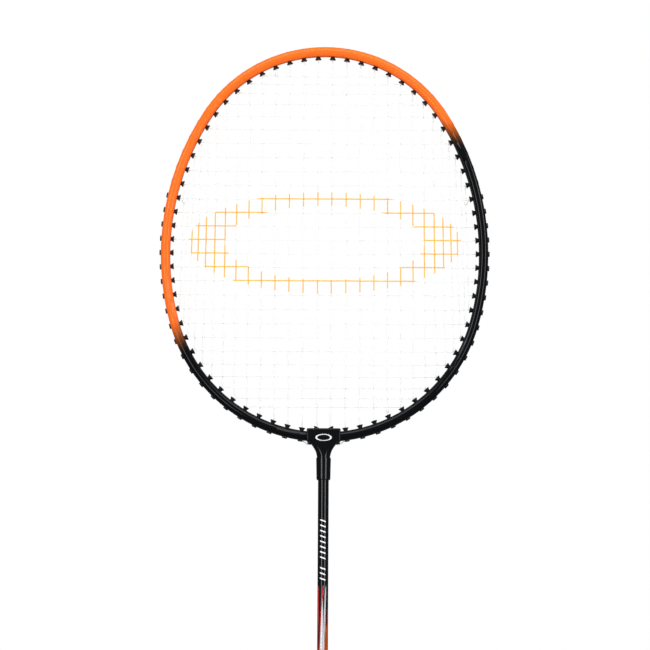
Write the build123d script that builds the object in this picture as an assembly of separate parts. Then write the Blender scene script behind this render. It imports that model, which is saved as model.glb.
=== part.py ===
from build123d import *
import os
from math import asin, cos, degrees, hypot, pi, radians, sin, sqrt, tan

# Badminton racket. Millimetres, +Z up along the shaft with the head at the top,
# +X across the head, +Y through its thickness. The origin is the middle of the butt end.

# ---------------------------------------------------------------- driving dimensions
TOTAL_LENGTH = 675.0        # butt end to the crown of the head
HEAD_WIDTH = 205.0          # widest point of the frame tube's centreline
HEAD_HEIGHT = 250.0         # crown to throat, on the frame tube's centreline
CROWN_RADIUS = 90.5         # centreline radius over the crown
CROWN_HALF_ANGLE = radians(57.5)

TUBE_WIDTH = 6.0            # frame tube across the plane of the head
TUBE_DEPTH = 10.0           # frame tube along Y
TUBE_WALL = 0.9
GROOVE_WIDTH = 3.8          # channel round the outside of the frame, where the string runs
GROOVE_DEPTH = 1.5
TUBE_GAP = 0.6              # between the two ends of the tube, inside the T-joint
TUBE_ROUND = 2.9            # corner radius of the tube's section, nearly a half round
CAVITY_ROUND = 1.2

HOLES_PER_SIDE = 36
HOLE_EASE = 0.06            # how far the holes draw together at the crown and throat
HOLE_SHIFT = -0.033         # how far they spread towards the crown
GROMMET_DIAMETER = 2.5
GROMMET_BORE = 1.7
TIP_DIAMETER = 4.1          # flared inner tip
HEAD_DIAMETER = 3.7         # outer head, in the groove
INNER_TIP = 2.1             # how far a grommet stands out of the tube's inner wall
LOW_EAR = 0.15              # how far its outer head stands proud of the groove, near the crown
TALL_EAR = 0.9              # and round the rest of the head
GROMMET_FLANGE = 0.4        # thickness of the outer head under the string
NOTCH_WIDTH = 1.8           # slot for the strings across a grommet's outer head
TIP_RIM = 0.35              # height of the widest part of the flared inner tip
TIP_WAIST = (0.3, 1.15)     # middle of the flare: how far off the barrel, and its height
MOUTH = 0.2                 # easing of the bore's edge at the tip
EDGE_BREAK = 0.15
EAR_ROUND = 0.25            # rounding of the outer head

STRING_DIAMETER = 0.7
STRING_PLAY = 0.16          # height of a string over the floor of a grommet's notch
STRING_SIDE_STEP = 0.4      # each of the two strings in a grommet lies this far off centre
WEAVE_STEP = 0.42           # a string's height off the head's plane where it crosses another
MAINS_PER_SIDE = 14
CROSSES = 27
FIRST_CROSS_HOLE = 5        # counted from the crown
UPPER_HOLES = 18            # holes above the middle of the weave, on each side
TIE_HOLE = 15               # where the main string's ends come back in to be tied off
LOW_MAIN_HOLE = 23          # first hole of the lower group that mains share with crosses
CORNER_CLEARANCE = 0.5      # between a string's corner and the grommet tip that it leaves
CORNER_RADIUS = 0.9
GROOVE_BEND = 0.7
WEAVE_RADIUS = 3.0
ARC_SHARE = 0.45            # the most of a straight run that one bend may take
KNOT_DISTANCE = 2.3
KNOT_REACH = 0.75
KNOT_PITCH = 0.62

SHAFT_DIAMETER = 6.9
SHAFT_WALL = 0.9
JOINT_WIDTH = 21.8          # the T-joint's bar across the throat of the head
JOINT_DEPTH = 11.6
JOINT_TOP = 5.4             # its flat top, above the tube's centreline at the throat
JOINT_UNDERSIDE = 3.0       # lower edge of the bar, below that centreline
JOINT_ROUND = 0.9
FLARE_BOTTOM = 13.8         # where the flare meets the socket, below the centreline
FLARE_NECK = (8.5, 9.3)     # the flare there, along X and Y
FLARE_INSET = (0.9, 0.4)    # how much narrower than the bar it starts, along X and Y
FLARE_POWER = (2.1, 1.5)    # how fast it narrows, along X and Y
FLARE_CORNER = 2.4          # its corner radius at the top; nearly a full round at the socket
FLARE_STEPS = 7
FLARE_OVERLAP = 1.0
SOCKET_BOTTOM = 27.6
SOCKET_DIAMETERS = (9.5, 8.9)
SOCKET_CHAMFER = 0.45
SOCKET_OVERLAP = 0.6
SOCKET_DEPTH_LEFT = 6.0     # solid throat between the frame tube's middle and the shaft's end
SPIGOT_HALF_LENGTH = 12.0   # plug inside the tube's two ends
SPIGOT_PLAY = 0.05
THROAT_GROMMET_TOP = (4.5, 6.6)     # X and height of a slanted grommet's two ends
THROAT_GROMMET_END = (9.5, -4.6)
THROAT_TIP = (3.5, 0.5)     # diameter and height of its tip

CORE_ACROSS = (25.0, 22.0)  # wooden handle, across its flats in X and Y
CORE_CORNER = 6.5           # length cut off each corner of that rectangle
CORE_FLARE = 3.0            # how much wider the handle is at the butt
CORE_FLARE_POWER = 1.6
CORE_FLARE_HEIGHT = 34.0
CORE_FLARE_STEPS = 5
CORE_BOTTOM = 5.0
CORE_TOP = 168.0
CONE_TOP = 204.0
CONE_LAP = 14.0             # length of the core's round spigot, inside the cone's skirt
SPIGOT_RADIUS = 9.2
CONE_TOP_RADIUS = 4.8
CONE_FOOT_RADIUS = 14.6
CONE_EDGE = 0.6
CONE_SKIRT = 4.0            # straight part of the cone just below the core's top
CONE_HOLLOW = 2.2           # how far its sides curve in from a straight cone
SHAFT_BOTTOM = 60.0         # the shaft is glued into the core down to here
GRIP_THICKNESS = 1.8
GRIP_BOTTOM = 9.0
GRIP_TOP = 163.0
TAPE_HEIGHT = 12.0
TAPE_THICKNESS = 0.35
TAPE_OVERHANG = 0.3         # how far the tape reaches above the grip
# The end cap's outline: height, and how far it stands out all round the core.
CAP_OUTLINE = ((0.0, 1.3), (1.2, 3.3), (7.4, 3.4), (9.0, 2.8))
BADGE_DIAMETER = 17.0
BADGE_CHAMFER = 0.2
BADGE_THICKNESS = 0.8

# ---------------------------------------------------------------- the head's centreline
# Three arcs a side, tangent to each other: crown, flank and throat.
crown_z = TOTAL_LENGTH - TUBE_WIDTH / 2
throat_z = crown_z - HEAD_HEIGHT
flank_radius = ((HEAD_WIDTH / 2 - CROWN_RADIUS * sin(CROWN_HALF_ANGLE))
                / (1 - sin(CROWN_HALF_ANGLE)))
centre_shift = (flank_radius - CROWN_RADIUS) * sin(CROWN_HALF_ANGLE)
centre_drop = (flank_radius - CROWN_RADIUS) * cos(CROWN_HALF_ANGLE)
spare_height = HEAD_HEIGHT - CROWN_RADIUS - centre_drop - flank_radius
throat_radius = flank_radius + (spare_height ** 2 + centre_shift ** 2) / (2 * spare_height)
throat_angle = pi - asin(centre_shift / (flank_radius - throat_radius))
crown_centre = (0.0, crown_z - CROWN_RADIUS)
flank_centre = (-centre_shift, crown_centre[1] - centre_drop)
throat_centre = (0.0, throat_z + throat_radius)
crown_length = CROWN_RADIUS * CROWN_HALF_ANGLE
flank_length = flank_radius * (throat_angle - CROWN_HALF_ANGLE)
half_length = crown_length + flank_length + throat_radius * (pi - throat_angle)


def head_point(distance, side, offset=0.0):
    """X and Z of the point at a distance along one side from the crown, moved outward."""
    if distance < crown_length:
        centre, radius, turn = crown_centre, CROWN_RADIUS, distance / CROWN_RADIUS
    elif distance < crown_length + flank_length:
        centre, radius = flank_centre, flank_radius
        turn = CROWN_HALF_ANGLE + (distance - crown_length) / flank_radius
    else:
        centre, radius = throat_centre, throat_radius
        turn = pi - (half_length - distance) / throat_radius
    reach = radius + offset
    return side * (centre[0] + reach * sin(turn)), centre[1] + reach * cos(turn)


# ---------------------------------------------------------------- string holes
def hole_distance(number):
    """Distance from the crown to a hole, counted from 1 at the crown to 36 at the throat."""
    share = (number - 0.5) / HOLES_PER_SIDE
    ease = HOLE_EASE * sin(4 * pi * share) / (4 * pi) + HOLE_SHIFT * sin(2 * pi * share) / (2 * pi)
    return half_length * (share - ease)


def hole_ends(number, side):
    """Inner and outer ends of a grommet's axis, as X and Z."""
    if number == HOLES_PER_SIDE:
        inner, outer = [(side * x, throat_z + z) for x, z in (THROAT_GROMMET_TOP, THROAT_GROMMET_END)]
        return inner, outer
    distance = hole_distance(number)
    inner = head_point(distance, side, -TUBE_WIDTH / 2 - INNER_TIP)
    outer = head_point(distance, side, TUBE_WIDTH / 2)
    return inner, outer


def along(start, end, travel):
    """The point at a distance from start towards end."""
    share = travel / hypot(end[0] - start[0], end[1] - start[1])
    return start[0] + (end[0] - start[0]) * share, start[1] + (end[1] - start[1]) * share


def hole_length(number):
    inner, outer = hole_ends(number, 1)
    return hypot(outer[0] - inner[0], outer[1] - inner[1])


def hole_plane(number, side):
    """A plane at a grommet's inner tip, with its normal along the bore, pointing outward."""
    inner, outer = hole_ends(number, side)
    return Plane(origin=(inner[0], 0, inner[1]), x_dir=(0, 1, 0),
                 z_dir=(outer[0] - inner[0], 0, outer[1] - inner[1]))


# ---------------------------------------------------------------- frame tube
def radial_plane(centre, radius, turn):
    """The plane across the tube: local X is outward, local Y runs through the head."""
    outward = (sin(turn), 0, cos(turn))
    origin = (centre[0] + radius * sin(turn), 0, centre[1] + radius * cos(turn))
    return Plane(origin=origin, x_dir=outward, z_dir=(cos(turn), 0, -sin(turn)))


def tube_section(hollow=True):
    """The tube's section: round to the front and back, with the string groove on the outside."""
    half_width, half_depth = TUBE_WIDTH / 2, TUBE_DEPTH / 2
    with BuildSketch() as section:
        Rectangle(TUBE_WIDTH, TUBE_DEPTH)
        fillet(section.vertices(), TUBE_ROUND)
        if hollow:
            with Locations((half_width - GROOVE_DEPTH / 2, 0)):
                Rectangle(GROOVE_DEPTH, GROOVE_WIDTH, mode=Mode.SUBTRACT)
            low, high = TUBE_WALL - half_width, half_width - GROOVE_DEPTH - TUBE_WALL
            with Locations(((low + high) / 2, 0)):
                RectangleRounded(high - low, 2 * (half_depth - TUBE_WALL), CAVITY_ROUND,
                                 mode=Mode.SUBTRACT)
    return section.face()


def tube_arc(section, centre, radius, start, end):
    face = radial_plane(centre, radius, start) * section
    axis = Axis((centre[0], 0, centre[1]), (0, 1, 0))
    return revolve(face, axis=axis, revolution_arc=degrees(end - start))


def throat_arc(section, half_gap):
    last = pi - half_gap / throat_radius
    return tube_arc(section, throat_centre, throat_radius, throat_angle, last)


def through_holes(diameter, numbers):
    """One cylinder along each hole's axis, long enough to pass both walls."""
    tools = []
    for number in numbers:
        for side in (1, -1):
            plane = hole_plane(number, side)
            length = hole_length(number)
            tools.append(plane * Pos(0, 0, length / 2) * Cylinder(diameter / 2, length + 2 * TUBE_WIDTH))
    return tools


def make_frame_tube():
    section = tube_section()
    crown = tube_arc(section, crown_centre, CROWN_RADIUS, -CROWN_HALF_ANGLE, CROWN_HALF_ANGLE)
    flank = tube_arc(section, flank_centre, flank_radius, CROWN_HALF_ANGLE, throat_angle)
    throat = throat_arc(section, TUBE_GAP / 2)
    right = flank + throat
    tube = crown + right + mirror(right, about=Plane.YZ)
    return tube - through_holes(GROMMET_DIAMETER, range(1, HOLES_PER_SIDE + 1))


def make_frame_spigot():
    """The plug that joins the tube's two ends inside the T-joint."""
    low, high = TUBE_WALL - TUBE_WIDTH / 2, TUBE_WIDTH / 2 - GROOVE_DEPTH - TUBE_WALL
    with BuildSketch() as section:
        with Locations(((low + high) / 2, 0)):
            RectangleRounded(high - low - 2 * SPIGOT_PLAY, TUBE_DEPTH - 2 * TUBE_WALL - 2 * SPIGOT_PLAY,
                             CAVITY_ROUND - SPIGOT_PLAY)
    half_turn = SPIGOT_HALF_LENGTH / throat_radius
    plug = tube_arc(section.face(), throat_centre, throat_radius, pi - half_turn, pi + half_turn)
    return plug - through_holes(GROMMET_DIAMETER, [HOLES_PER_SIDE])


# ---------------------------------------------------------------- T-joint and shaft
def flare_section(share):
    """One section of the flare, from the bar at 0 down to the socket at 1."""
    narrowing = [(1 - share) ** power for power in FLARE_POWER]
    width = FLARE_NECK[0] + (JOINT_WIDTH - FLARE_INSET[0] - FLARE_NECK[0]) * narrowing[0]
    depth = FLARE_NECK[1] + (JOINT_DEPTH - FLARE_INSET[1] - FLARE_NECK[1]) * narrowing[1]
    corner = FLARE_CORNER + (0.49 * FLARE_NECK[0] - FLARE_CORNER) * share
    top = throat_z - JOINT_UNDERSIDE + FLARE_OVERLAP
    height = top + (throat_z - FLARE_BOTTOM - top) * share
    return Plane.XY.offset(height) * RectangleRounded(width, depth, corner)


def make_t_joint():
    """Bar round the throat of the tube, flare, and tapered socket for the shaft, in one moulding."""
    bar_height = JOINT_TOP + JOINT_UNDERSIDE
    bar = Pos(0, 0, throat_z + JOINT_TOP - bar_height / 2) * Box(JOINT_WIDTH, JOINT_DEPTH, bar_height)
    bar = fillet(bar.edges(), JOINT_ROUND)
    flare = loft([flare_section(step / FLARE_STEPS) for step in range(FLARE_STEPS + 1)])
    socket_height = SOCKET_BOTTOM - FLARE_BOTTOM + SOCKET_OVERLAP
    socket = Pos(0, 0, throat_z - SOCKET_BOTTOM + socket_height / 2) * Cone(
        SOCKET_DIAMETERS[1] / 2, SOCKET_DIAMETERS[0] / 2, socket_height)
    socket = chamfer(socket.edges().filter_by(GeomType.CIRCLE), SOCKET_CHAMFER)
    body = bar + flare + socket
    tube = throat_arc(tube_section(hollow=False), 0.0)
    shaft_top = throat_z - SOCKET_DEPTH_LEFT
    bore = Pos(0, 0, shaft_top - SOCKET_BOTTOM) * Cylinder(SHAFT_DIAMETER / 2, 2 * SOCKET_BOTTOM)
    body = body - [tube, mirror(tube, about=Plane.YZ), bore]
    return body - through_holes(GROMMET_DIAMETER, [HOLES_PER_SIDE])


def round_bar(radius, low, high):
    return Pos(0, 0, (low + high) / 2) * Cylinder(radius, high - low)


def make_shaft():
    top = throat_z - SOCKET_DEPTH_LEFT
    outside = round_bar(SHAFT_DIAMETER / 2, SHAFT_BOTTOM, top)
    return outside - round_bar(SHAFT_DIAMETER / 2 - SHAFT_WALL, SHAFT_BOTTOM - 1, top + 1)


# ---------------------------------------------------------------- grommets
def grommet_profile(flange_z, ear_top):
    """Half section: local X is the radius, local Y runs from the inner tip outward."""
    barrel, tip, bore = GROMMET_DIAMETER / 2, TIP_DIAMETER / 2, GROMMET_BORE / 2
    head = HEAD_DIAMETER / 2
    round_middle = EAR_ROUND * (1 - cos(pi / 4))
    with BuildSketch(Plane.XZ) as profile:
        with BuildLine():
            Polyline((bore + MOUTH, 0), (tip - EDGE_BREAK, 0), (tip, EDGE_BREAK), (tip, TIP_RIM))
            ThreePointArc((tip, TIP_RIM), (barrel + TIP_WAIST[0], TIP_WAIST[1]), (barrel, INNER_TIP))
            Polyline((barrel, INNER_TIP), (barrel, flange_z), (head, flange_z),
                     (head, ear_top - EAR_ROUND))
            ThreePointArc((head, ear_top - EAR_ROUND), (head - round_middle, ear_top - round_middle),
                          (head - EAR_ROUND, ear_top))
            Polyline((head - EAR_ROUND, ear_top), (bore, ear_top), (bore, MOUTH), (bore + MOUTH, 0))
        make_face()
    return profile.sketch


def make_grommet(ear):
    """A nylon sleeve with a flared inner tip and an outer head notched for the string."""
    flange_z = INNER_TIP + TUBE_WIDTH - GROOVE_DEPTH
    ear_top = INNER_TIP + TUBE_WIDTH + ear
    sleeve = revolve(grommet_profile(flange_z, ear_top), axis=Axis.Z)
    notch_floor = flange_z + GROMMET_FLANGE
    notch_height = ear_top - notch_floor + 1
    notch = Pos(0, 0, notch_floor + notch_height / 2) * Box(NOTCH_WIDTH, 2 * HEAD_DIAMETER, notch_height)
    return sleeve - notch


def make_throat_grommet():
    """The longer, slanted sleeve through the T-joint, with a plain outer end."""
    barrel, tip, bore = GROMMET_DIAMETER / 2, THROAT_TIP[0] / 2, GROMMET_BORE / 2
    rim = THROAT_TIP[1]
    length = hole_length(HOLES_PER_SIDE)
    with BuildSketch(Plane.XZ) as profile:
        with BuildLine():
            Polyline((bore + MOUTH, 0), (tip - EDGE_BREAK, 0), (tip, EDGE_BREAK), (tip, rim),
                     (barrel, 2 * rim), (barrel, length - EDGE_BREAK),
                     (barrel - EDGE_BREAK, length), (bore, length), (bore, MOUTH), (bore + MOUTH, 0))
        make_face()
    return revolve(profile.sketch, axis=Axis.Z)


def place_grommets(grommet, numbers):
    return [hole_plane(number, side) * grommet for number in numbers for side in (-1, 1)]


# ---------------------------------------------------------------- strings
def cross_step(side, number):
    """The Y offset of a cross string in a hole; the main string there takes the other side."""
    upper = 1 if number <= UPPER_HOLES else -1
    return -side * upper * STRING_SIDE_STEP


def inner_corner(number, side, step):
    """Where a string leaves a grommet's inner tip."""
    inner, outer = hole_ends(number, side)
    x, z = along(inner, outer, -CORNER_CLEARANCE)
    return x, step, z


def outer_corner(number, side, step):
    """Where a string turns into the groove round the outside of the frame."""
    inner, outer = hole_ends(number, side)
    if number == HOLES_PER_SIDE:
        depth = hole_length(number) + STRING_DIAMETER
    else:
        depth = INNER_TIP + TUBE_WIDTH - GROOVE_DEPTH + GROMMET_FLANGE + STRING_DIAMETER / 2 + STRING_PLAY
    x, z = along(inner, outer, depth)
    return x, step, z


def soft_path(points, radii):
    """Straight runs joined by tangent arcs, each as large as its two runs allow."""
    corners = [Vector(*point) for point in points]
    edges = []
    start = corners[0]
    for before, corner, after, radius in zip(corners, corners[1:], corners[2:], radii):
        back, ahead = before - corner, after - corner
        half_turn = pi / 2 - radians(back.get_angle(ahead)) / 2
        reach = min(radius * tan(half_turn), ARC_SHARE * min(back.length, ahead.length))
        arc_radius = reach / tan(half_turn)
        back, ahead = back.normalized(), ahead.normalized()
        middle = corner + (back + ahead).normalized() * (arc_radius / cos(half_turn) - arc_radius)
        edges.append(Edge.make_line(start, corner + back * reach))
        edges.append(Edge.make_three_point_arc(corner + back * reach, middle, corner + ahead * reach))
        start = corner + ahead * reach
    edges.append(Edge.make_line(start, corners[-1]))
    return Wire(edges)


def string_along(route):
    """A round string along a route of points, each marked with the radius of its bend."""
    points = [point for point, radius in route]
    path = soft_path(points, [radius for point, radius in route[1:-1]])
    start = Plane(origin=points[0], z_dir=Vector(*points[1]) - Vector(*points[0]))
    return sweep((start * Circle(STRING_DIAMETER / 2)).face(), path=path)


def main_ends(column):
    """Side and number of a main string, counted from 0 at the left, and its two end points."""
    side = -1 if column < MAINS_PER_SIDE else 1
    number = MAINS_PER_SIDE - column if side < 0 else column - MAINS_PER_SIDE + 1
    top, bottom = number, HOLES_PER_SIDE + 1 - number
    high = inner_corner(top, side, -cross_step(side, top))
    low = inner_corner(bottom, side, -cross_step(side, bottom))
    return side, top, bottom, high, low


def cross_ends(row):
    """A cross string's hole number, and its left and right end points; rows count from 0."""
    number = FIRST_CROSS_HOLE + row
    left = inner_corner(number, -1, cross_step(-1, number))
    right = inner_corner(number, 1, cross_step(1, number))
    return number, left, right


def crossings():
    """Where each main and cross string meet, as (column, row): (x, z)."""
    meets = {}
    for column in range(2 * MAINS_PER_SIDE):
        side, top, bottom, high, low = main_ends(column)
        for row in range(CROSSES):
            number, left, right = cross_ends(row)
            z = left[2]
            share = (high[2] - z) / (high[2] - low[2])
            x = high[0] + (low[0] - high[0]) * share
            if 0 < share < 1 and left[0] < x < right[0] and number != top and number != bottom:
                meets[column, row] = (x, z)
    return meets


def weave(column, row):
    """A cross string's height where it meets a main; the main goes to the other side."""
    return WEAVE_STEP if (column + row) % 2 == 0 else -WEAVE_STEP


def bed_run(marks, ends):
    """The stretch between two grommets: its end corners and the bends at its crossings."""
    run = [(ends[0], CORNER_RADIUS)]
    run += [(mark, WEAVE_RADIUS) for mark in marks]
    return run + [(ends[1], CORNER_RADIUS)]


def main_route():
    """One string up and down through every main hole, tied off beside the outermost mains."""
    meets = crossings()
    left_tie, right_tie = [(TIE_HOLE, side, -cross_step(side, TIE_HOLE)) for side in (-1, 1)]
    route = [(knot_entry(0), CORNER_RADIUS), (inner_corner(*left_tie), CORNER_RADIUS),
             (outer_corner(*left_tie), GROOVE_BEND)]
    for column in range(2 * MAINS_PER_SIDE):
        side, top, bottom, high, low = main_ends(column)
        marks = [(meets[column, row][0], -weave(column, row), meets[column, row][1])
                 for row in range(CROSSES) if (column, row) in meets]
        ends, holes = (high, low), (top, bottom)
        if column % 2 == 1:
            marks, ends, holes = marks[::-1], ends[::-1], holes[::-1]
        route.append((outer_corner(holes[0], side, ends[0][1]), GROOVE_BEND))
        route += bed_run(marks, ends)
        route.append((outer_corner(holes[1], side, ends[1][1]), GROOVE_BEND))
    return route + [(outer_corner(*right_tie), GROOVE_BEND), (inner_corner(*right_tie), CORNER_RADIUS),
                    (knot_entry(1), CORNER_RADIUS)]


def cross_route():
    """One string to and fro through every cross hole, from the crown end to the throat end."""
    meets = crossings()
    start = (FIRST_CROSS_HOLE - 1, -1, cross_step(-1, FIRST_CROSS_HOLE - 1))
    last_hole = FIRST_CROSS_HOLE + CROSSES
    finish = (last_hole, 1, cross_step(1, last_hole))
    route = [(knot_entry(2), CORNER_RADIUS), (inner_corner(*start), CORNER_RADIUS),
             (outer_corner(*start), GROOVE_BEND)]
    for row in range(CROSSES):
        number, left, right = cross_ends(row)
        marks = [(meets[column, row][0], weave(column, row), meets[column, row][1])
                 for column in range(2 * MAINS_PER_SIDE) if (column, row) in meets]
        ends, sides = (left, right), (-1, 1)
        if row % 2 == 1:
            marks, ends, sides = marks[::-1], ends[::-1], sides[::-1]
        route.append((outer_corner(number, sides[0], ends[0][1]), GROOVE_BEND))
        route += bed_run(marks, ends)
        route.append((outer_corner(number, sides[1], ends[1][1]), GROOVE_BEND))
    return route + [(outer_corner(*finish), GROOVE_BEND), (inner_corner(*finish), CORNER_RADIUS),
                    (knot_entry(3), CORNER_RADIUS)]


# ---------------------------------------------------------------- tie-off knots
def knot_stops(index):
    """The two points on a main string between which a knot lies, the nearer one first."""
    meets = crossings()
    if index < 2:
        column = (0, 2 * MAINS_PER_SIDE - 1)[index]
        rows = (TIE_HOLE - FIRST_CROSS_HOLE, TIE_HOLE - FIRST_CROSS_HOLE + 1)
        return [(meets[column, row][0], -weave(column, row), meets[column, row][1]) for row in rows]
    if index == 2:
        column, row = MAINS_PER_SIDE - (FIRST_CROSS_HOLE - 1), 0
        corner = main_ends(column)[3]
    else:
        main_number = HOLES_PER_SIDE + 1 - FIRST_CROSS_HOLE - CROSSES
        column, row = MAINS_PER_SIDE + main_number - 1, CROSSES - 1
        corner = main_ends(column)[4]
    return [corner, (meets[column, row][0], -weave(column, row), meets[column, row][1])]


def tie_corner(index):
    """The inner grommet corner that a string comes from on its way to a knot."""
    number = (TIE_HOLE, TIE_HOLE, FIRST_CROSS_HOLE - 1, FIRST_CROSS_HOLE + CROSSES)[index]
    side = (-1, 1, -1, 1)[index]
    step = cross_step(side, number)
    return inner_corner(number, side, -step if index < 2 else step)


def knot_place(index):
    """A knot's middle, the direction of the string it grips, and the end of the string it ties."""
    first, second = [Vector(*stop) for stop in knot_stops(index)]
    direction = (second - first).normalized()
    middle = first + direction * KNOT_DISTANCE
    arriving = Vector(*tie_corner(index)) - middle
    sideways = (arriving - direction * arriving.dot(direction)).normalized()
    return middle, direction, middle + sideways * KNOT_REACH


def knot_entry(index):
    entry = knot_place(index)[2]
    return entry.X, entry.Y, entry.Z


def make_knot(index):
    """Three tight turns round a main string, with the tied string's end inside."""
    middle, direction, entry = knot_place(index)
    plane = Plane(origin=middle, z_dir=direction)
    turns = [Pos(0, 0, step * KNOT_PITCH) * Torus(STRING_DIAMETER, STRING_DIAMETER / 2)
             for step in (-1, 0, 1)]
    barrel = Cylinder(STRING_DIAMETER, 2 * KNOT_PITCH) + turns
    gripped = Cylinder(STRING_DIAMETER / 2, 4 * KNOT_DISTANCE)
    corner = Vector(*tie_corner(index))
    run = corner - entry
    bar = Cylinder(STRING_DIAMETER / 2, run.length)
    tied = Plane(origin=entry, z_dir=run) * Pos(0, 0, run.length / 2) * bar
    return plane * barrel - [plane * gripped, tied]


# ---------------------------------------------------------------- handle
def octagon(height, grow):
    """The handle's eight-sided section at a height, moved outward all round."""
    across_x, across_y = [size + 2 * grow for size in CORE_ACROSS]
    cut = CORE_CORNER + grow * (2 - sqrt(2))
    half_x, half_y = across_x / 2, across_y / 2
    points = [(half_x, half_y - cut), (half_x - cut, half_y), (cut - half_x, half_y),
              (-half_x, half_y - cut), (-half_x, cut - half_y), (cut - half_x, -half_y),
              (half_x - cut, -half_y), (half_x, cut - half_y)]
    return Plane.XY.offset(height) * make_face(Polyline(points, close=True))


def handle_flare(height):
    """How far the handle swells towards the butt at a height."""
    share = max(0.0, 1 - height / CORE_FLARE_HEIGHT)
    return CORE_FLARE / 2 * share ** CORE_FLARE_POWER


def handle_body(low, high, grow):
    """The eight-sided handle between two heights, with its flare at the butt."""
    heights = [low]
    if low < CORE_FLARE_HEIGHT < high:
        heights += [low + (CORE_FLARE_HEIGHT - low) * step / CORE_FLARE_STEPS
                    for step in range(1, CORE_FLARE_STEPS + 1)]
    heights.append(high)
    return loft([octagon(height, grow + handle_flare(height)) for height in heights], ruled=True)


def make_handle_core():
    """The wooden handle, bored for the shaft, with a round spigot for the cone."""
    shoulder = CORE_TOP - CONE_LAP
    core = handle_body(CORE_BOTTOM, shoulder, 0) + round_bar(SPIGOT_RADIUS, shoulder - 1, CORE_TOP)
    recess = round_bar(BADGE_DIAMETER / 2, CORE_BOTTOM - 1, CORE_BOTTOM + 1)
    return core - round_bar(SHAFT_DIAMETER / 2, SHAFT_BOTTOM, CORE_TOP + 1) - recess


def make_handle_cone():
    """The moulded cone between the handle and the shaft, eight-sided where it meets the grip."""
    shoulder = CORE_TOP - CONE_LAP
    prism = handle_body(shoulder, CONE_TOP, 0)
    waist = ((CONE_FOOT_RADIUS + CONE_TOP_RADIUS) / 2 - CONE_HOLLOW, (CORE_TOP + CONE_TOP) / 2)
    edge, skirt_top = CONE_TOP - CONE_EDGE, CORE_TOP - CONE_SKIRT
    with BuildSketch(Plane.XZ) as profile:
        with BuildLine():
            Polyline((CONE_TOP_RADIUS, edge), (CONE_TOP_RADIUS - CONE_EDGE, CONE_TOP), (0, CONE_TOP),
                     (0, shoulder), (CONE_FOOT_RADIUS, shoulder), (CONE_FOOT_RADIUS, skirt_top))
            ThreePointArc((CONE_FOOT_RADIUS, skirt_top), waist, (CONE_TOP_RADIUS, edge))
        make_face()
    cone = revolve(profile.sketch, axis=Axis.Z) & prism
    cone = cone - round_bar(SPIGOT_RADIUS, shoulder - 1, CORE_TOP)
    return cone - round_bar(SHAFT_DIAMETER / 2, CORE_TOP - 1, CONE_TOP + 1)


def make_grip():
    """The grip's outer shape, from the end cap up over the cone's skirt."""
    return handle_body(GRIP_BOTTOM, GRIP_TOP, GRIP_THICKNESS) - handle_body(GRIP_BOTTOM - 1, GRIP_TOP + 1, 0)


def make_finishing_tape():
    low, high = GRIP_TOP - TAPE_HEIGHT, GRIP_TOP + TAPE_OVERHANG
    outside = handle_body(low, high, GRIP_THICKNESS + TAPE_THICKNESS)
    return outside - handle_body(low - 1, high + 1, GRIP_THICKNESS)


def make_butt_cap():
    """A moulded cup over the core's end, with a round recess for the badge."""
    outside = loft([octagon(height, grow) for height, grow in CAP_OUTLINE], ruled=True)
    pocket = handle_body(CORE_BOTTOM, GRIP_BOTTOM + 1, 0)
    return outside - pocket - round_bar(BADGE_DIAMETER / 2, -1, BADGE_THICKNESS)


def make_butt_badge():
    """A plain domed-edge disc set flush in the end cap."""
    disc = round_bar(BADGE_DIAMETER / 2, 0, BADGE_THICKNESS)
    return chamfer(disc.edges().group_by(Axis.Z)[0], BADGE_CHAMFER)


# ---------------------------------------------------------------- pieces
def save(name, *solids):
    """One named piece, or a group of identical ones, in a file of its own."""
    shape = solids[0] if len(solids) == 1 else Compound(children=list(solids))
    export_step(shape, f"parts/{name}.step")


def save_grommets():
    """Each run of grommets is named for its place on the head."""
    low, tall = make_grommet(LOW_EAR), make_grommet(TALL_EAR)
    last_cross = FIRST_CROSS_HOLE + CROSSES
    groups = {"grommets_crown": (low, range(1, FIRST_CROSS_HOLE)),
              "grommets_shoulders": (low, range(FIRST_CROSS_HOLE, TIE_HOLE)),
              "grommets_flanks": (tall, range(TIE_HOLE, LOW_MAIN_HOLE)),
              "grommets_hips": (tall, range(LOW_MAIN_HOLE, last_cross)),
              "grommets_base": (tall, range(last_cross, HOLES_PER_SIDE))}
    for name, (grommet, numbers) in groups.items():
        save(name, *place_grommets(grommet, numbers))
    save("grommets_throat", *place_grommets(make_throat_grommet(), [HOLES_PER_SIDE]))


os.makedirs("parts", exist_ok=True)
save("frame_tube", make_frame_tube())
save("frame_spigot", make_frame_spigot())
save("t_joint", make_t_joint())
save("shaft", make_shaft())
save_grommets()
save("main_strings", string_along(main_route()))
save("cross_strings", string_along(cross_route()))
save("main_tie_knots", make_knot(0), make_knot(1))
save("cross_tie_knots", make_knot(2), make_knot(3))
save("handle_core", make_handle_core())
save("handle_cone", make_handle_cone())
save("grip_wrap", make_grip())
save("finishing_tape", make_finishing_tape())
save("butt_cap", make_butt_cap())
save("butt_badge", make_butt_badge())
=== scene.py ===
import math

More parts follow.
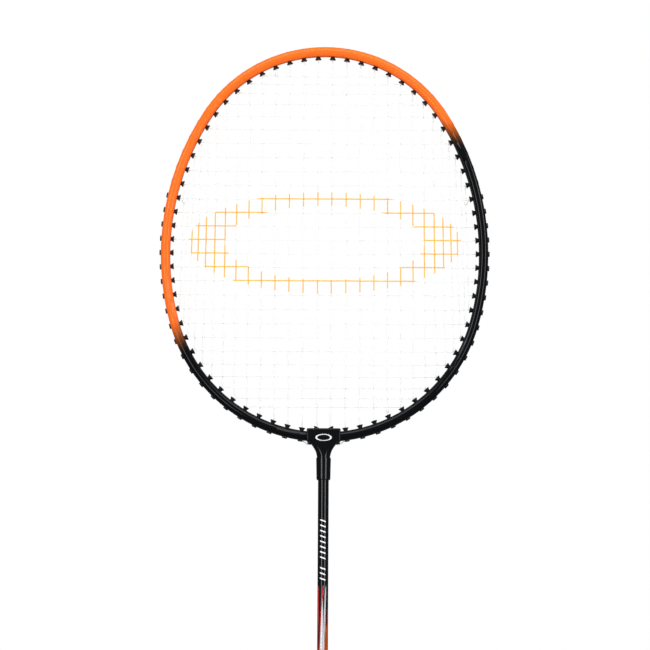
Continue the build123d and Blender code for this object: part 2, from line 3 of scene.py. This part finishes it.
import bmesh
import bpy
from mathutils import Euler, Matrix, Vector


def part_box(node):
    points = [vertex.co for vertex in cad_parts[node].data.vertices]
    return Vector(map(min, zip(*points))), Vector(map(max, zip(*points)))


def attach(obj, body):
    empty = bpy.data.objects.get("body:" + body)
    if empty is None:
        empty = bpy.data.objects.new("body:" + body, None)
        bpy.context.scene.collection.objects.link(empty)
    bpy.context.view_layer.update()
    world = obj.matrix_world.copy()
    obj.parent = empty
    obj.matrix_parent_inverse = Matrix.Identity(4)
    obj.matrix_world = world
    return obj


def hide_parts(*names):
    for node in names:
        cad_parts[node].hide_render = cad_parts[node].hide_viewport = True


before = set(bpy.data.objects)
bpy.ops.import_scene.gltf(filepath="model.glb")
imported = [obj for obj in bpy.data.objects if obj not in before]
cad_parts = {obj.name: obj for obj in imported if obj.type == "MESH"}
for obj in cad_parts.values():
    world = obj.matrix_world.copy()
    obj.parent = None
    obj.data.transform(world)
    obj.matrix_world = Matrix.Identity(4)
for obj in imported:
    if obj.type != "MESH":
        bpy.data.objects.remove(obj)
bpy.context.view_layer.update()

MM = 0.001
tube_lo, tube_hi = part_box("frame_tube")
grip_lo, grip_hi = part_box("grip_wrap")
tape_lo, tape_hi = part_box("finishing_tape")
cone_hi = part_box("handle_cone")[1]
THROAT_Z = tube_lo.z + 3 * MM           # the tube's centreline under the strings
CROWN_Z = tube_hi.z
HEAD_MIDDLE_Z = (THROAT_Z + CROWN_Z) / 2
JOINT_FACE_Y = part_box("t_joint")[1].y
SHAFT_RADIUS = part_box("shaft")[1].x
BADGE_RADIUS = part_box("butt_badge")[1].x

# ---------------------------------------------------------------- colours
ORANGE = (0.93, 0.150, 0.016)
FADE_BROWN = (0.40, 0.115, 0.004)
BLACK = (0.0030, 0.0034, 0.0044)
WHITE_INK = (0.80, 0.81, 0.82)
PALE_INK = (0.60, 0.62, 0.63)
SILVER_INK = (0.44, 0.46, 0.49)
GREY_INK = (0.11, 0.10, 0.11)
SOOT_INK = (0.03, 0.028, 0.03)
RED_INK = (0.52, 0.012, 0.012)
DARK_RED_INK = (0.20, 0.010, 0.008)
RUST_INK = (0.34, 0.055, 0.008)
STRING_WHITE = (0.80, 0.81, 0.81)
STRING_INK = (1.0, 0.45, 0.012)
NYLON_DARK, NYLON_PALE = (0.006, 0.006, 0.007), (0.012, 0.012, 0.013)
PLASTIC_BLACK = (0.008, 0.008, 0.009)
WOOD_DARK, WOOD_PALE = (0.45, 0.27, 0.13), (0.66, 0.46, 0.26)
GRIP_BLACK, GRIP_RUBBED = (0.016, 0.016, 0.017), (0.034, 0.034, 0.035)
# painted shade: the near-black put in the grip's perforations, where shade falls in the holes
PAINTED_HOLE_SHADE = (0.001, 0.001, 0.001)
TAPE_BLACK, TAPE_CREASED = (0.011, 0.011, 0.012), (0.02, 0.02, 0.021)
# FLOOR_FAR is the far floor's colour, painted paler with distance as painted light
FLOOR_DARK, FLOOR_PALE, FLOOR_FAR = (0.77, 0.77, 0.77), (0.79, 0.79, 0.79), (0.93, 0.93, 0.93)
WHITE = (1.0, 1.0, 1.0)


# ---------------------------------------------------------------- node helpers
NOISE_LOW, NOISE_HIGH = 0.3, 0.7        # most of a noise's values lie between these
SPECKLE_SCALE = 1500.0
PLASTIC_IOR = 1.5


class Nodes:
    """A material's node tree, with short calls for the maths used in its patterns."""

    def __init__(self, name):
        self.material = bpy.data.materials.new(name)
        self.material.use_nodes = True
        self.tree = self.material.node_tree
        self.tree.nodes.clear()
        self.surface = self.add("ShaderNodeBsdfPrincipled")
        output = self.add("ShaderNodeOutputMaterial")
        self.tree.links.new(self.surface.outputs[0], output.inputs[0])
        self.place = self.add("ShaderNodeTexCoord").outputs["Object"]
        self.x, self.y, self.z = self.split(self.place)

    def add(self, kind):
        return self.tree.nodes.new(kind)

    def join(self, value, socket):
        if isinstance(value, bpy.types.NodeSocket):
            self.tree.links.new(value, socket)
        elif isinstance(value, tuple) and len(value) == 3 and len(socket.default_value) == 4:
            socket.default_value = (*value, 1.0)
        else:
            socket.default_value = value

    def math(self, operation, *values):
        made = self.add("ShaderNodeMath")
        made.operation = operation
        for value, socket in zip(values, made.inputs):
            self.join(value, socket)
        return made.outputs[0]

    def plus(self, first, second):
        return self.math("ADD", first, second)

    def minus(self, first, second):
        return self.math("SUBTRACT", first, second)

    def times(self, first, second):
        return self.math("MULTIPLY", first, second)

    def over(self, first, second):
        return self.math("DIVIDE", first, second)

    def size(self, value):
        return self.math("ABSOLUTE", value)

    def length(self, first, second):
        """Length of the line with these two coordinates."""
        return self.math("SQRT", self.plus(self.times(first, first), self.times(second, second)))

    def ramp(self, value, low, high, from_value=0.0, to_value=1.0):
        """A smooth step between two values of an input."""
        made = self.add("ShaderNodeMapRange")
        made.interpolation_type = "SMOOTHSTEP"
        for item, socket in zip((value, low, high, from_value, to_value), made.inputs):
            self.join(item, socket)
        return made.outputs[0]

    def mix(self, share, first, second):
        made = self.add("ShaderNodeMix")
        made.data_type = "RGBA"
        self.join(share, made.inputs["Factor"])
        self.join(first, made.inputs[6])
        self.join(second, made.inputs[7])
        return made.outputs[2]

    def noise(self, scale, detail=3.0, place=None):
        made = self.add("ShaderNodeTexNoise")
        self.join(place or self.place, made.inputs["Vector"])
        made.inputs["Scale"].default_value = scale
        made.inputs["Detail"].default_value = detail
        return made.outputs[0]

    def spray(self, reach):
        """Fine airbrush speckle that moves a painted edge by up to half of reach."""
        speckle = self.noise(SPECKLE_SCALE, detail=1.0)
        return self.times(self.minus(speckle, 0.5), reach)

    def vector(self, x, y, z):
        made = self.add("ShaderNodeCombineXYZ")
        for value, socket in zip((x, y, z), made.inputs):
            self.join(value, socket)
        return made.outputs[0]

    def split(self, vector):
        made = self.add("ShaderNodeSeparateXYZ")
        self.join(vector, made.inputs[0])
        return made.outputs

    def plane(self, normal, point):
        """Distance in front of a plane that runs through the head's thickness, in X and Z."""
        across = self.times(self.minus(self.x, point[0]), normal[0])
        up = self.times(self.minus(self.z, point[1]), normal[1])
        return self.plus(across, up)

    def set(self, **values):
        """Sets the surface's inputs; an underscore stands for a space."""
        for name, value in values.items():
            self.join(value, self.surface.inputs[name.replace("_", " ")])

    def bump(self, height, distance, strength=0.5):
        made = self.add("ShaderNodeBump")
        made.inputs["Strength"].default_value = strength
        made.inputs["Distance"].default_value = distance
        self.join(height, made.inputs["Height"])
        self.join(made.outputs[0], self.surface.inputs["Normal"])


# ---------------------------------------------------------------- lacquered pieces
def finish_lacquer(n, rough=0.09, gloss=0.17):
    """Clear lacquer: fine orange peel, faint rubbed patches and tiny scratches along the piece."""
    peel_scale, peel_height = 900.0, 0.02 * MM
    rub_scale, rub_low, rub_high, rub_rough = 38.0, 0.45, 0.75, 0.06
    scratch_scale, scratch_low, scratch_high = 420.0, 0.66, 0.72
    scratch_rough, scratch_depth, across_stretch, along_stretch = 0.05, 0.3, 5.0, 0.6
    peel = n.noise(peel_scale, detail=2.0)
    rubbed = n.ramp(n.noise(rub_scale, detail=4.0), rub_low, rub_high, rough, rough + rub_rough)
    stretched = n.vector(n.times(n.x, across_stretch), n.times(n.y, across_stretch),
                         n.times(n.z, along_stretch))
    scratches = n.ramp(n.noise(scratch_scale, detail=6.0, place=stretched), scratch_low, scratch_high)
    n.set(Roughness=n.plus(rubbed, n.times(scratches, scratch_rough)), IOR=PLASTIC_IOR,
          Specular_IOR_Level=gloss, Coat_Weight=gloss / 2, Coat_Roughness=0.04)
    n.bump(n.minus(peel, n.times(scratches, scratch_depth)), peel_height)


def frame_lacquer():
    """Orange round the crown and left side, airbrushed into black at the lower left and upper right."""
    left_normal, left_point = (-0.85, 0.53), (-91 * MM, THROAT_Z + 65 * MM)
    right_normal, right_point = (0.10, 0.99), (87 * MM, CROWN_Z - 58 * MM)
    fade_start, fade_end, fade_power, fade_spray = -8 * MM, 13 * MM, 1.2, 3 * MM
    patch_scale, patch_shade = 60.0, 0.95
    n = Nodes("frame_lacquer")
    on_right = n.math("GREATER_THAN", n.x, 0.0)
    edge = n.plus(n.times(n.plane(right_normal, right_point), on_right),
                  n.times(n.plane(left_normal, left_point), n.minus(1.0, on_right)))
    paint = n.ramp(n.plus(edge, n.spray(fade_spray)), fade_start, fade_end)
    patchy = n.ramp(n.noise(patch_scale), NOISE_LOW, NOISE_HIGH)
    orange = n.mix(patchy, ORANGE, tuple(c * patch_shade for c in ORANGE))
    tone = n.mix(paint, FADE_BROWN, orange)
    n.set(Base_Color=n.mix(n.math("POWER", paint, fade_power), BLACK, tone))
    finish_lacquer(n)
    return n.material


def oval_ring(n, x, z, half_width, half_height, thickness, soft):
    """1 inside the line of a plain oval, 0 elsewhere, from two scaled coordinates."""
    reach = n.length(n.over(x, half_width), n.over(z, half_height))
    outside = n.ramp(reach, 1 - soft, 1 + soft, 1.0, 0.0)
    inside = n.ramp(reach, 1 - thickness - soft, 1 - thickness + soft)
    return n.times(outside, inside)


def joint_black():
    """Black moulding with a plain white oval printed on the front and back."""
    oval_z, half_width, half_height = THROAT_Z - 0.6 * MM, 5.2 * MM, 2.2 * MM
    face_depth = 0.8 * MM
    n = Nodes("joint_black")
    ring = oval_ring(n, n.x, n.minus(n.z, oval_z), half_width, half_height, thickness=0.2, soft=0.05)
    faces = n.math("GREATER_THAN", n.size(n.y), JOINT_FACE_Y - face_depth)
    n.set(Base_Color=n.mix(n.times(ring, faces), BLACK, WHITE_INK))
    finish_lacquer(n, rough=0.12, gloss=0.3)
    return n.material


BARS_TOP, BARS_END = THROAT_Z - 53 * MM, THROAT_Z - 93 * MM
BAR_PITCH = 3.4 * MM
# Painted streaks below the bars, the first one painted first. Each has its colour, the place of its
# middle round the shaft at its start and end and its half width there, all four in mm, the power that
# its drift follows, and the share of the streaks' length at which it begins.
STREAKS = (
    (GREY_INK, -3.6, -3.2, 1.0, 0.0, 1.0, 0.0),
    (SILVER_INK, 2.1, 0.9, 0.30, 0.75, 0.8, 0.0),
    (PALE_INK, 0.2, -0.45, 0.10, 1.3, 0.7, 0.0),
    (SILVER_INK, -0.2, 0.1, 0.05, 0.45, 0.6, 0.25),
    (SOOT_INK, -0.1, 1.3, 0.45, 0.12, 1.0, 0.1),
    (RED_INK, 0.7, -2.1, 0.35, 0.22, 0.6, 0.0),
    (RED_INK, -3.6, -1.9, 0.5, 0.0, 1.0, 0.0),
    (DARK_RED_INK, -4.3, -3.3, 0.55, 0.45, 1.4, 0.0),
    (RED_INK, 4.2, 3.1, 0.3, 0.5, 1.0, 0.35),
    (RUST_INK, 3.9, 2.6, 0.3, 1.5, 1.0, 0.62),
)


def slanted_bars(n, around):
    """1 on a row of slanted bars down the front and back of the shaft, with one gap in the row."""
    slope, half_stroke, stroke_soft = 0.35, 0.13, 0.02
    row_shift, row_half, row_soft = 0.2 * MM, 1.825 * MM, 0.075 * MM
    gap_z, gap_half = BARS_END + 11.9 * MM, 1.7 * MM
    slant = n.plus(n.z, n.times(around, slope))
    step = n.math("FRACT", n.over(n.minus(slant, BARS_END), BAR_PITCH))
    stroke = n.ramp(n.size(n.minus(step, 0.5)), half_stroke - stroke_soft, half_stroke + stroke_soft,
                    1.0, 0.0)
    row = n.ramp(n.size(n.plus(around, row_shift)), row_half - row_soft, row_half + row_soft, 1.0, 0.0)
    gap = n.math("GREATER_THAN", n.size(n.minus(n.z, gap_z)), gap_half)
    inside = n.times(n.math("GREATER_THAN", n.z, BARS_END), n.math("LESS_THAN", n.z, BARS_TOP))
    return n.times(n.times(stroke, row), n.times(inside, gap))


def streaked_paint(n, around, fall):
    """The streaks in their order over black; fall is 0 under the bars and grows downward."""
    fade_in, begin_in, edge_soft = 0.06, 0.12, 0.12 * MM
    started = n.ramp(fall, 0.0, fade_in)
    paint = BLACK
    for colour, start, end, start_half, end_half, bend, first in STREAKS:
        drift = n.math("POWER", fall, bend)
        centre = n.plus(start * MM, n.times(drift, (end - start) * MM))
        half = n.plus(start_half * MM, n.times(fall, (end_half - start_half) * MM))
        off = n.minus(n.size(n.minus(around, centre)), half)
        cover = n.ramp(off, -edge_soft, edge_soft, 1.0, 0.0)
        begin = n.times(started, n.ramp(fall, first, first + begin_in))
        paint = n.mix(n.times(cover, begin), paint, colour)
    return paint


def shaft_lacquer():
    """Black lacquer with slanted white bars, then red and silver streaks running into orange."""
    streaks_top, streaks_length = BARS_END - 1 * MM, 40 * MM
    orange_from, orange_to, orange_spray = 0.95, 1.5, 0.12
    n = Nodes("shaft_lacquer")
    turn = n.math("ARCTAN2", n.x, n.times(n.y, -1.0))
    facing = n.minus(n.math("PINGPONG", n.plus(turn, math.pi / 2), math.pi), math.pi / 2)
    around = n.times(facing, SHAFT_RADIUS)
    fall = n.math("MAXIMUM", n.over(n.minus(streaks_top, n.z), streaks_length), 0.0)
    to_orange = n.ramp(n.plus(fall, n.spray(orange_spray)), orange_from, orange_to)
    paint = n.mix(to_orange, streaked_paint(n, around, fall), ORANGE)
    n.set(Base_Color=n.mix(slanted_bars(n, around), paint, WHITE_INK))
    finish_lacquer(n, rough=0.07, gloss=0.3)
    return n.material


# ---------------------------------------------------------------- strings and plastics
def grommet_nylon():
    """Dull black nylon with a fine fleck."""
    fleck_scale, fleck_height, pale_from = 2500.0, 0.03 * MM, 0.35
    smooth, rough = 0.32, 0.5
    n = Nodes("grommet_nylon")
    fleck = n.noise(fleck_scale, detail=4.0)
    n.set(Base_Color=n.mix(n.ramp(fleck, pale_from, NOISE_HIGH), NYLON_DARK, NYLON_PALE),
          Roughness=n.ramp(fleck, NOISE_LOW, NOISE_HIGH, smooth, rough), IOR=PLASTIC_IOR)
    n.bump(fleck, fleck_height, strength=0.6)
    return n.material


def string_nylon(name, lengthwise):
    """Clear-coated multifilament nylon: a fine twist, and a plain oval printed across the bed."""
    twist_along, twist_around, twist_height = 9000.0, 6000.0, 0.02 * MM
    oval_z, half_width, half_height = HEAD_MIDDLE_Z - 1 * MM, 88 * MM, 33 * MM
    glow = 0.5 * MM
    n = Nodes(name)
    along, around = (n.z, n.x) if lengthwise == "z" else (n.x, n.z)
    twist = n.math("SINE", n.plus(n.times(along, twist_along), n.times(n.plus(around, n.y), twist_around)))
    ink = oval_ring(n, n.x, n.minus(n.z, oval_z), half_width, half_height, thickness=0.27, soft=0.004)
    n.set(Base_Color=n.mix(ink, STRING_WHITE, STRING_INK), Roughness=0.34, Specular_IOR_Level=0.25,
          Subsurface_Weight=0.8, Subsurface_Radius=(glow, glow, glow), Subsurface_Scale=1.0,
          Coat_Weight=0.1)
    n.bump(twist, twist_height)
    return n.material


def moulded_plastic(name, colour, rough):
    """Injection-moulded plastic: fine spark texture, a little dust in it."""
    grain_scale, grain_rough, grain_height = 1800.0, 0.14, 0.025 * MM
    dust_scale, dust_low, dust_high, dust_most = 70.0, 0.55, 0.8, 0.35
    dust_gain, dust_lift = 1.6, 0.004
    n = Nodes(name)
    grain = n.noise(grain_scale, detail=5.0)
    dust = n.ramp(n.noise(dust_scale, detail=6.0), dust_low, dust_high, 0.0, dust_most)
    dusty = tuple(min(1.0, c * dust_gain + dust_lift) for c in colour)
    n.set(Base_Color=n.mix(dust, colour, dusty), IOR=PLASTIC_IOR,
          Roughness=n.ramp(grain, NOISE_LOW, NOISE_HIGH, rough, rough + grain_rough))
    n.bump(grain, grain_height)
    return n.material


def badge_plastic():
    """Orange disc with turned rings and one black line near its edge."""
    ring_rate, ring_height = 5200.0, 0.03 * MM
    line_inset, line_half, line_soft = 2.1 * MM, 0.4 * MM, 0.05 * MM
    n = Nodes("badge_plastic")
    radius = n.length(n.x, n.y)
    rings = n.math("SINE", n.times(radius, ring_rate))
    off_line = n.size(n.minus(radius, BADGE_RADIUS - line_inset))
    line = n.ramp(off_line, line_half - line_soft, line_half + line_soft, 1.0, 0.0)
    n.set(Base_Color=n.mix(line, ORANGE, BLACK), Roughness=0.25, Coat_Weight=0.5)
    n.bump(rings, ring_height, strength=0.4)
    return n.material


# ---------------------------------------------------------------- wood, grip and tape
def handle_wood():
    """Pale wood with its rings drawn out along the handle."""
    ring_scale, along_stretch, ring_height = 260.0, 0.05, 0.1 * MM
    n = Nodes("handle_wood")
    rings = n.noise(ring_scale, detail=8.0, place=n.vector(n.x, n.y, n.times(n.z, along_stretch)))
    shade = n.ramp(rings, NOISE_LOW, NOISE_HIGH)
    n.set(Base_Color=n.mix(shade, WOOD_DARK, WOOD_PALE), Roughness=0.6)
    n.bump(rings, ring_height)
    return n.material


def grip_foam():
    """Soft polyurethane strip: pebbled skin, rows of perforations painted near-black as painted shade, a
    paler rubbed crown.
    """
    hole_pitch, hole_floor, hole_rim = 3.4 * MM, 0.13, 0.2
    pebble_scale, pebble_height, relief, smooth, rough = 1400.0, 0.22, 0.5 * MM, 0.45, 0.66
    rub_scale, rub_low, rub_high, rub_most = 45.0, 0.4, 0.8, 0.6
    n = Nodes("grip_pu")
    uv = n.add("ShaderNodeUVMap")
    uv.uv_map = "strip"
    cells = [n.minus(n.math("FRACT", n.over(place, hole_pitch)), 0.5)
             for place in n.split(uv.outputs[0])[:2]]
    hole = n.ramp(n.length(*cells), hole_floor, hole_rim, 1.0, 0.0)
    pebble = n.noise(pebble_scale)
    rubbed = n.ramp(n.noise(rub_scale, detail=4.0), rub_low, rub_high, 0.0, rub_most)
    skin = n.mix(rubbed, GRIP_BLACK, GRIP_RUBBED)
    # The perforations get near-black painted shade over the skin; the same mask also sinks them in the
    # bump.
    n.set(Base_Color=n.mix(hole, skin, PAINTED_HOLE_SHADE), Specular_IOR_Level=0.4,
          Roughness=n.ramp(pebble, NOISE_LOW, NOISE_HIGH, smooth, rough))
    n.bump(n.minus(n.times(pebble, pebble_height), hole), relief, strength=0.9)
    return n.material


def tape_vinyl():
    """Black vinyl with fine creases round the handle."""
    crease_scale, along_stretch, crease_height, pale_from = 160.0, 4.0, 0.08 * MM, 0.4
    smooth, rough = 0.25, 0.42
    n = Nodes("tape_black")
    crease = n.noise(crease_scale, detail=6.0, place=n.vector(n.x, n.y, n.times(n.z, along_stretch)))
    n.set(Base_Color=n.mix(n.ramp(crease, pale_from, NOISE_HIGH), TAPE_BLACK, TAPE_CREASED),
          Roughness=n.ramp(crease, NOISE_LOW, NOISE_HIGH, smooth, rough))
    n.bump(crease, crease_height)
    return n.material


def dress(material, *names):
    """Gives CAD pieces their material."""
    for name in names:
        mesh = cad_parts[name].data
        mesh.materials.clear()
        mesh.materials.append(material)


# ---------------------------------------------------------------- wound strips round the handle
GRIP_THICK = 1.8 * MM
CORE_SIZES = (cone_hi.x, cone_hi.y)     # half the core across its flats: the cone's foot matches it
CORE_CUT = 6.5 * MM                     # how much each corner of the core is cut off
FLARE = 1.5 * MM                        # how far the core swells at the butt, and over what height
FLARE_HEIGHT = 34 * MM
FLARE_POWER = 1.6
EASING = math.radians(12)               # how far a wrapped strip bridges to each side of a corner
EASING_SHARES = ((-1, 1), (-0.5, 2), (0, 3), (0.5, 2), (1, 1))     # share of the bridge, weight
TINY = 1e-9                             # keeps a division off zero
WELD = 1e-7                             # how near a cut a corner counts as on it


def core_reach(turn, grow):
    """Distance from the axis to the eight-sided core, moved outward, in one direction."""
    x, y = abs(math.cos(turn)), abs(math.sin(turn))
    half_x, half_y = CORE_SIZES[0] + grow, CORE_SIZES[1] + grow
    corner = half_x + half_y - CORE_CUT - grow * (2 - math.sqrt(2))
    return min(half_x / max(x, TINY), half_y / max(y, TINY), corner / (x + y))


def soft_reach(turn, grow):
    """The same with its corners eased, as a wrapped strip bridges them."""
    reaches = sum(core_reach(turn + EASING * step, grow) * weight for step, weight in EASING_SHARES)
    return reaches / sum(weight for step, weight in EASING_SHARES)


def flare_at(z):
    return FLARE * max(0.0, 1 - z / FLARE_HEIGHT) ** FLARE_POWER


def wound_strip(name, section, turns, start_z, pitch, steps, radial_step=0.0, start_turn=0.0):
    """A strip wound round the handle; section lists (height across, distance off the core)."""
    mesh = bpy.data.meshes.new(name)
    shape = bmesh.new()
    layer = shape.loops.layers.uv.new("strip")
    count = int(turns * steps)
    mean_reach = sum(CORE_SIZES) / 2 + GRIP_THICK
    rows = []
    for step in range(count + 1):
        share = step / steps
        turn = start_turn + 2 * math.pi * share
        row = []
        for height, off in section:
            z = start_z + pitch * share + height
            grow = off + flare_at(max(z, 0.0)) + radial_step * share
            reach = soft_reach(turn, grow)
            row.append(shape.verts.new((reach * math.cos(turn), reach * math.sin(turn), z)))
        rows.append(row)
    for index in range(count):
        along = [2 * math.pi * mean_reach * (index + k) / steps for k in (0, 1)]
        for k in range(len(section)):
            after = (k + 1) % len(section)
            face = shape.faces.new((rows[index][k], rows[index + 1][k],
                                    rows[index + 1][after], rows[index][after]))
            face.smooth = True
            places = ((along[0], section[k][0]), (along[1], section[k][0]),
                      (along[1], section[after][0]), (along[0], section[after][0]))
            for loop, place in zip(face.loops, places):
                loop[layer].uv = place
    shape.faces.new(rows[0])
    shape.faces.new(rows[-1][::-1])
    return mesh, shape


def trim(shape, z, keep_above):
    """Cuts a wound strip level, and closes the cut."""
    normal = (0, 0, -1) if keep_above else (0, 0, 1)
    geometry = shape.verts[:] + shape.edges[:] + shape.faces[:]
    cut = bmesh.ops.bisect_plane(shape, geom=geometry, dist=WELD, plane_co=(0, 0, z), plane_no=normal,
                                 clear_outer=True)
    rim = [e for e in cut["geom_cut"] if isinstance(e, bmesh.types.BMEdge)]
    bmesh.ops.edgeloop_fill(shape, edges=rim)


def settle(mesh, shape, name, material, replaced):
    """Turns a bmesh into a piece that stands for a CAD node."""
    bmesh.ops.recalc_face_normals(shape, faces=shape.faces[:])
    shape.to_mesh(mesh)
    shape.free()
    piece = bpy.data.objects.new(name, mesh)
    bpy.context.scene.collection.objects.link(piece)
    mesh.materials.append(material)
    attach(piece, "root")
    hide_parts(replaced)
    return piece


def strip_section(width, thick, edge, lap):
    """Outline of the strip: padded middle, thinned edges, its lower edge laid over the turn below."""
    lift, lift_width, thin, edge_steps, clear = 0.42 * MM, 1.6 * lap, 0.26, 6, 0.02 * MM
    sides = [edge * k / edge_steps for k in range(edge_steps + 1)]
    places = sides + [width - side for side in reversed(sides)]
    top, bottom = [], []
    for place in places:
        ease = min(1.0, min(place, width - place) / edge)
        base = lift * max(0.0, 1 - place / lift_width)
        top.append((place, base + thick * (thin + (1 - thin) * ease * ease * (3 - 2 * ease))))
        bottom.append((place, base + clear))
    return top + bottom[::-1]


def make_grip(material):
    """The grip: one strip wound up the handle with overlapping turns, cut level at both ends."""
    pitch, lap, thick, edge = 21.5 * MM, 2.0 * MM, 1.72 * MM, 5.0 * MM
    steps, spare_turns, under_tape = 64, 0.2, 0.3 * MM
    width = pitch + lap
    section = strip_section(width, thick, edge, lap)
    turns = (grip_hi.z - grip_lo.z + width) / pitch + spare_turns
    mesh, shape = wound_strip("grip_strip", section, turns, grip_lo.z - width, pitch, steps)
    trim(shape, grip_lo.z, keep_above=True)
    trim(shape, grip_hi.z - under_tape, keep_above=False)
    return settle(mesh, shape, "grip_strip", material, "grip_wrap")


def make_tape(material):
    """The band over the grip's upper end; its outer end laps over itself."""
    low, high, edge_drop, parts = 0.1 * MM, 0.28 * MM, 0.09 * MM, 8
    turns, steps, rise_per_turn, start_turn = 1.22, 72, 0.16 * MM, 2.2
    height = tape_hi.z - tape_lo.z
    section = []
    for k in range(parts + 1):
        share = k / parts
        edge = min(share, 1 - share) * parts
        section.append((share * height, GRIP_THICK + high - edge_drop * max(0.0, 1 - edge)))
    section += [(height * k / parts, GRIP_THICK + low) for k in range(parts, -1, -1)]
    mesh, shape = wound_strip("finishing_band", section, turns, tape_lo.z, 0.0, steps, rise_per_turn,
                              start_turn)
    return settle(mesh, shape, "finishing_band", material, "finishing_tape")


# ---------------------------------------------------------------- set
def make_floor():
    """A pale floor that is painted paler and given a painted glow, both growing with distance, so that it
    meets the white behind it softly.
    """
    floor_size, mottle_scale = 200, 3.0
    fade_from, fade_to, painted_glow_to, glow = 0.8, 12.0, 7.0, 0.26
    bpy.ops.mesh.primitive_plane_add(size=floor_size, location=(0, 0, 0))
    floor = bpy.context.object
    floor.name = "floor"
    floor.visible_glossy = False
    n = Nodes("floor_white")
    reach = n.length(n.x, n.y)
    near = n.mix(n.noise(mottle_scale), FLOOR_DARK, FLOOR_PALE)
    # Painted light: the far floor's paler colour and its emission are a painted glow that stands in for
    # lamp light the floor does not get.
    n.set(Base_Color=n.mix(n.ramp(reach, fade_from, fade_to), near, FLOOR_FAR), Roughness=0.7,
          Specular_IOR_Level=0.1, Emission_Color=WHITE,
          Emission_Strength=n.ramp(reach, fade_from, painted_glow_to, 0.0, glow))
    floor.data.materials.append(n.material)
    return floor


def make_world():
    """White behind the racket, a dimmer even light all round it."""
    seen_strength, lit_strength = 1.0, 0.09
    world = bpy.data.worlds.new("studio")
    world.use_nodes = True
    tree = world.node_tree
    tree.nodes.clear()
    mix = tree.nodes.new("ShaderNodeMixShader")
    for strength, socket in ((lit_strength, mix.inputs[1]), (seen_strength, mix.inputs[2])):
        backdrop = tree.nodes.new("ShaderNodeBackground")
        backdrop.inputs["Color"].default_value = (*WHITE, 1.0)
        backdrop.inputs["Strength"].default_value = strength
        tree.links.new(backdrop.outputs[0], socket)
    path = tree.nodes.new("ShaderNodeLightPath")
    output = tree.nodes.new("ShaderNodeOutputWorld")
    tree.links.new(path.outputs["Is Camera Ray"], mix.inputs[0])
    tree.links.new(mix.outputs[0], output.inputs[0])
    bpy.context.scene.world = world


def area_light(name, place, target, width, height, radiance):
    light = bpy.data.lights.new(name, "AREA")
    light.shape = "RECTANGLE"
    light.size, light.size_y = width, height
    light.energy = radiance * math.pi * width * height
    lamp = bpy.data.objects.new(name, light)
    lamp.location = place
    lamp.rotation_euler = (Vector(target) - Vector(place)).to_track_quat("-Z", "Z").to_euler()
    bpy.context.scene.collection.objects.link(lamp)
    return lamp


def make_lights(floor):
    """Two tall strips in front, one panel above and a soft overhead; the strips leave the floor alone."""
    strips = ((-1, 35, 5.4), (1, 46, 5.0))          # side, degrees from the front, radiance
    strip_distance, strip_z, strip_aim = 2.2, 0.75, (0, 0, 0.45)
    strip_width, strip_height = 0.5, 2.6
    top_place, top_width, top_height, top_radiance = (0, -1.3, 2.1), 2.4, 1.3, 3.0
    overhead_strength, overhead_spread = 0.7, 70
    spared = bpy.data.collections.new("spared")
    spared.objects.link(floor)
    spared.collection_objects[0].light_linking.link_state = "EXCLUDE"
    for side, turn, radiance in strips:
        angle = math.radians(turn)
        place = (side * strip_distance * math.sin(angle), -strip_distance * math.cos(angle), strip_z)
        strip = area_light(f"strip_{side}", place, strip_aim, strip_width, strip_height, radiance)
        strip.light_linking.receiver_collection = spared
    area_light("top", top_place, (0, 0, HEAD_MIDDLE_Z), top_width, top_height, top_radiance)
    light = bpy.data.lights.new("overhead", "SUN")
    light.energy = math.pi * overhead_strength
    light.angle = math.radians(overhead_spread)
    overhead = bpy.data.objects.new("overhead", light)
    overhead.visible_glossy = False
    bpy.context.scene.collection.objects.link(overhead)


def make_camera():
    """Low in front of the head, looking slightly up at a point below its middle, with a long lens."""
    distance, rise, roll = 3.0, math.radians(6.0), math.radians(0.3)
    target = Vector((0.5 * MM, 0, HEAD_MIDDLE_Z - 54.1 * MM))
    seen_width = 418.3 * MM             # how much of the racket's plane the picture spans
    sensor_width, clip_end = 36.0, 50.0
    data = bpy.data.cameras.new("camera")
    camera = bpy.data.objects.new("camera", data)
    bpy.context.scene.collection.objects.link(camera)
    camera.location = target - distance * Vector((0, math.cos(rise), math.sin(rise)))
    data.sensor_width = sensor_width
    data.lens = sensor_width * distance / seen_width
    data.clip_end = clip_end
    upright = Euler((math.pi / 2 + rise, 0, 0)).to_matrix()
    camera.rotation_euler = (upright @ Euler((0, 0, roll)).to_matrix()).to_euler()
    bpy.context.scene.camera = camera
    bpy.context.scene.view_settings.view_transform = "Standard"


make_camera()
make_world()
make_lights(make_floor())
dress(frame_lacquer(), "frame_tube")
dress(joint_black(), "t_joint")
dress(shaft_lacquer(), "shaft")
dress(grommet_nylon(), "grommets_crown", "grommets_shoulders", "grommets_flanks", "grommets_hips",
      "grommets_base", "grommets_throat", "frame_spigot")
dress(string_nylon("main_string_nylon", "z"), "main_strings", "main_tie_knots")
dress(string_nylon("cross_string_nylon", "x"), "cross_strings", "cross_tie_knots")
dress(handle_wood(), "handle_core")
dress(moulded_plastic("cone_plastic", PLASTIC_BLACK, rough=0.22), "handle_cone")
dress(moulded_plastic("cap_plastic", PLASTIC_BLACK, rough=0.3), "butt_cap")
dress(badge_plastic(), "butt_badge")
make_grip(grip_foam())
make_tape(tape_vinyl())
